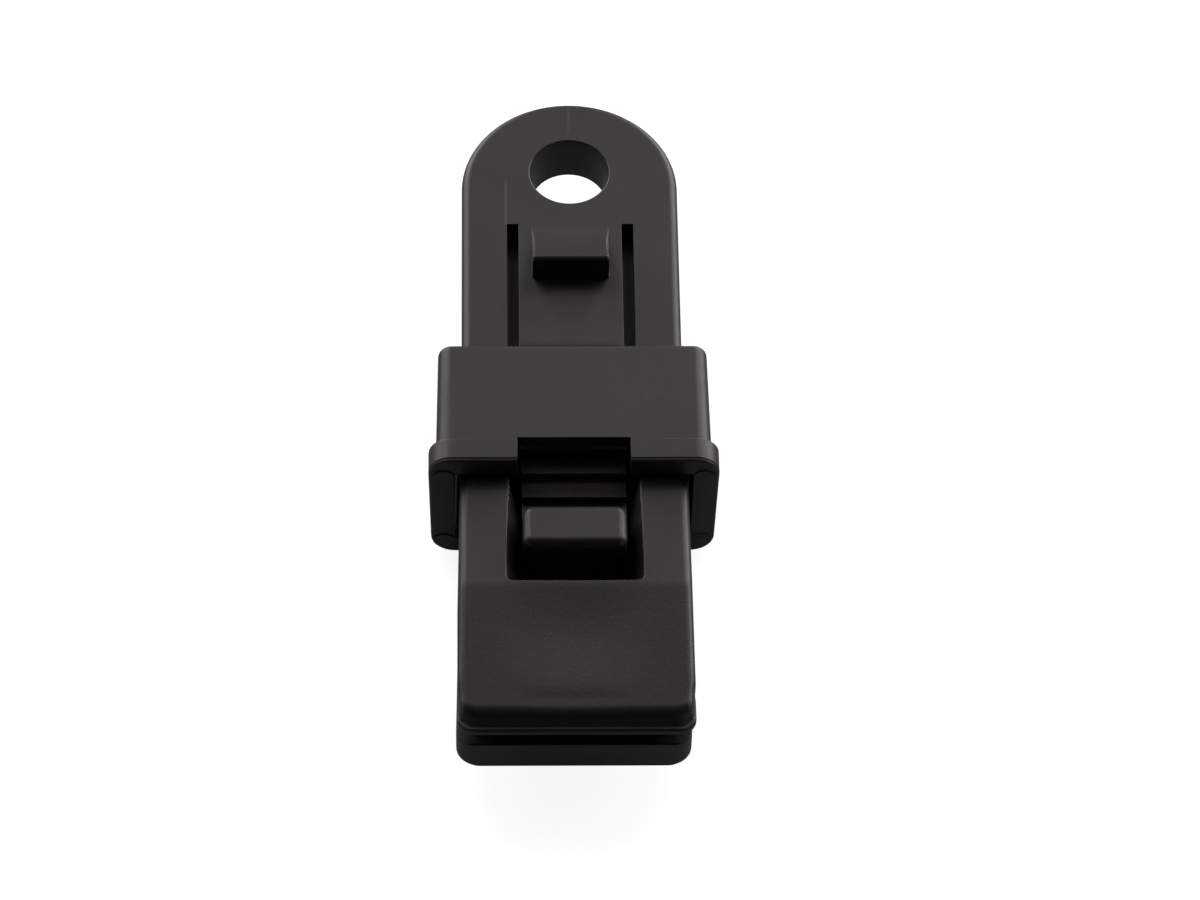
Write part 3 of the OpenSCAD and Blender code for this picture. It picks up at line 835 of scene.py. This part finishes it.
def black_plastic(name, dark, light, rough, lines=None, rubbed=None):
    """Satin black moulded plastic: fine sparked grain, faint clouding and a few dust specks."""
    paint = Paint(name)
    place = paint.node("ShaderNodeTexCoord", out="Object")
    cloud = paint.node("ShaderNodeTexNoise", Vector=place, Scale=140.0, Detail=4.0, out="Fac")
    grain = paint.node("ShaderNodeTexNoise", Vector=place, Scale=5200.0, Detail=3.0, out="Fac")
    mottle = paint.node("ShaderNodeTexNoise", Vector=place, Scale=1500.0, Detail=2.0, out="Fac")
    spots = paint.node("ShaderNodeTexVoronoi", Vector=place, Scale=420.0, out="Distance")
    speck = paint.node("ShaderNodeMapRange", Value=spots, From_Min=0.035, From_Max=0.02)
    tone = paint.node("ShaderNodeMix", {"data_type": "RGBA"}, out=2, i0=cloud,
                      i6=(*dark, 1), i7=(*light, 1))
    dusty = paint.node("ShaderNodeMix", {"data_type": "RGBA"}, out=2, i0=speck * 0.12, i6=tone,
                       i7=DUST)
    relief = grain * 0.014 + mottle * 0.014
    if lines:
        relief = relief + lines(paint, place) * 0.03
    bump = paint.node("ShaderNodeBump", Height=relief, Distance=MM, Strength=1.0)
    roughness = (cloud - 0.5) * 0.08 + rough
    if rubbed:
        roughness = roughness - rubbed(paint, place) * 0.15
    shader = paint.node("ShaderNodeBsdfPrincipled", Base_Color=dusty, Normal=bump,
                        Roughness=roughness)
    paint.node("ShaderNodeOutputMaterial", Surface=shader)
    return paint.material


def dress(piece, material, body, node):
    """Smooth a finished piece, bring it to metres, paint it and put it on its body."""
    hold(piece)
    bpy.ops.object.shade_smooth_by_angle(angle=math.radians(32))
    weigh = piece.modifiers.new("weigh", "WEIGHTED_NORMAL")
    weigh.keep_sharp = True
    bpy.ops.object.modifier_apply(modifier=weigh.name)
    piece.scale = (MM, MM, MM)
    apply_transform()
    piece.data.materials.clear()
    piece.data.materials.append(material)
    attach(piece, body)
    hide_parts(node)
    fresh()


moulding_black = black_plastic("moulding_black_plastic", *MOULDING_TONES, 0.44, parting_lines)
tongue_black = black_plastic("tongue_black_plastic", *MOULDING_TONES, 0.44, parting_lines,
                             tooth_zone)
collar_black = black_plastic("collar_black_plastic", *COLLAR_TONES, 0.46)

dress(make_tail(), moulding_black, "tail", "tail_plate")
dress(make_upper_jaw(), moulding_black, "upper_jaw", "upper_jaw")
dress(make_lower_jaw(), moulding_black, "lower_jaw", "lower_jaw")
dress(make_tongue(), tongue_black, "tongue", "release_tongue")
dress(make_collar(), collar_black, "collar", "collar")


# Floor, lights and camera


FLOOR_SIZE = 6
FLOOR_PALE = (0.35, 0.35, 0.35, 1)
WHITE = (1, 1, 1, 1)
FLOOR_WHITE, FLOOR_GLOW, WORLD_GLOW = 0.9, 0.06, 0.01

# Softboxes: name, azimuth from +Y towards +X, height in degrees, power in watts
LAMPS = (
    ("left_strip", -60, 15, 1.2),
    ("right_strip", 60, 15, 2.5),
    ("left_low", -30, 15, 2.7),
    ("right_low", 30, 15, 2.6),
    ("left_softbox", -35, 45, 1.35),
    ("right_softbox", 35, 45, 1.35),
    ("top_softbox", 0, 75, 0.25),
    ("left_fill", -130, 15, 0.1),
    ("right_fill", 130, 15, 0.2),
)
LAMP_DISTANCE, LAMP_SIZE, LAMP_COLOUR = 0.8, 0.36, (1.0, 0.965, 0.93)

# Camera solved from the photograph: angles in degrees, aim in millimetres, distance in metres
CAMERA_AZIMUTH, CAMERA_HEIGHT, CAMERA_ROLL = -2.228, 54.5, 1.721
CAMERA_AIM, CAMERA_DISTANCE = (3.142, -4.526, MID), 0.59954
CAMERA_LENS, CAMERA_SENSOR = 157.18, 36


def white_stage():
    """Pale floor that the camera sees as white, with the clip's soft shadow on it."""
    fresh()
    bpy.ops.mesh.primitive_grid_add(x_subdivisions=2, y_subdivisions=2, size=FLOOR_SIZE)
    floor = bpy.context.object
    floor.name = "floor"
    paint = Paint("white_floor")
    seen = paint.node("ShaderNodeLightPath", out="Is Camera Ray")
    pale = paint.node("ShaderNodeBsdfDiffuse", Color=FLOOR_PALE)
    glow = paint.node("ShaderNodeEmission", Color=WHITE, Strength=FLOOR_WHITE)
    lifted = paint.node("ShaderNodeAddShader", i0=pale, i1=glow)
    faint = paint.node("ShaderNodeEmission", Color=WHITE, Strength=FLOOR_GLOW)
    unseen = paint.node("ShaderNodeAddShader", i0=pale, i1=faint)
    surface = paint.node("ShaderNodeMixShader", Fac=seen, i1=unseen, i2=lifted)
    paint.node("ShaderNodeOutputMaterial", Surface=surface)
    floor.data.materials.append(paint.material)


def soft_light(name, azimuth, height, power):
    """Softbox that looks at the clip."""
    fresh()
    turn, up = math.radians(azimuth), math.radians(height)
    towards = Vector((math.sin(turn) * math.cos(up), math.cos(turn) * math.cos(up), math.sin(up)))
    place = towards * LAMP_DISTANCE
    bpy.ops.object.light_add(type="AREA", location=place)
    lamp = bpy.context.object
    lamp.name = name
    lamp.data.shape = "RECTANGLE"
    lamp.data.size = LAMP_SIZE
    lamp.data.size_y = LAMP_SIZE
    lamp.data.energy = power
    lamp.data.color = LAMP_COLOUR
    lamp.rotation_euler = (-place).to_track_quat("-Z", "Y").to_euler()


def set_world():
    """Dim surroundings that the camera sees as white."""
    world = bpy.data.worlds.new("studio")
    bpy.context.scene.world = world
    world.use_nodes = True
    nodes, links = world.node_tree.nodes, world.node_tree.links
    seen = nodes.new("ShaderNodeLightPath")
    strength = nodes.new("ShaderNodeMapRange")
    strength.inputs["To Min"].default_value = WORLD_GLOW
    strength.inputs["To Max"].default_value = 1.0
    links.new(seen.outputs["Is Camera Ray"], strength.inputs["Value"])
    nodes["Background"].inputs["Color"].default_value = WHITE
    links.new(strength.outputs["Result"], nodes["Background"].inputs["Strength"])


def set_camera():
    """Camera placed by its azimuth, height, roll, distance and aim."""
    azimuth, height = math.radians(CAMERA_AZIMUTH), math.radians(CAMERA_HEIGHT)
    roll = math.radians(CAMERA_ROLL)
    level = math.cos(height)
    back = Vector((math.sin(azimuth) * level, -math.cos(azimuth) * level, math.sin(height)))
    right = Vector((0, 0, 1)).cross(back).normalized()
    up = back.cross(right)
    across = right * math.cos(roll) + up * math.sin(roll)
    upward = up * math.cos(roll) - right * math.sin(roll)
    place = Vector(CAMERA_AIM) * MM + back * CAMERA_DISTANCE
    bpy.ops.object.camera_add()
    camera = bpy.context.object
    camera.name = "camera"
    turn = Matrix((across, upward, back)).transposed()
    camera.matrix_world = Matrix.Translation(place) @ turn.to_4x4()
    camera.data.lens = CAMERA_LENS
    camera.data.sensor_width = CAMERA_SENSOR
    camera.data.clip_start = 0.01
    bpy.context.scene.camera = camera


white_stage()
for lamp_values in LAMPS:
    soft_light(*lamp_values)
set_world()
set_camera()
bpy.context.scene.view_settings.view_transform = "Standard"
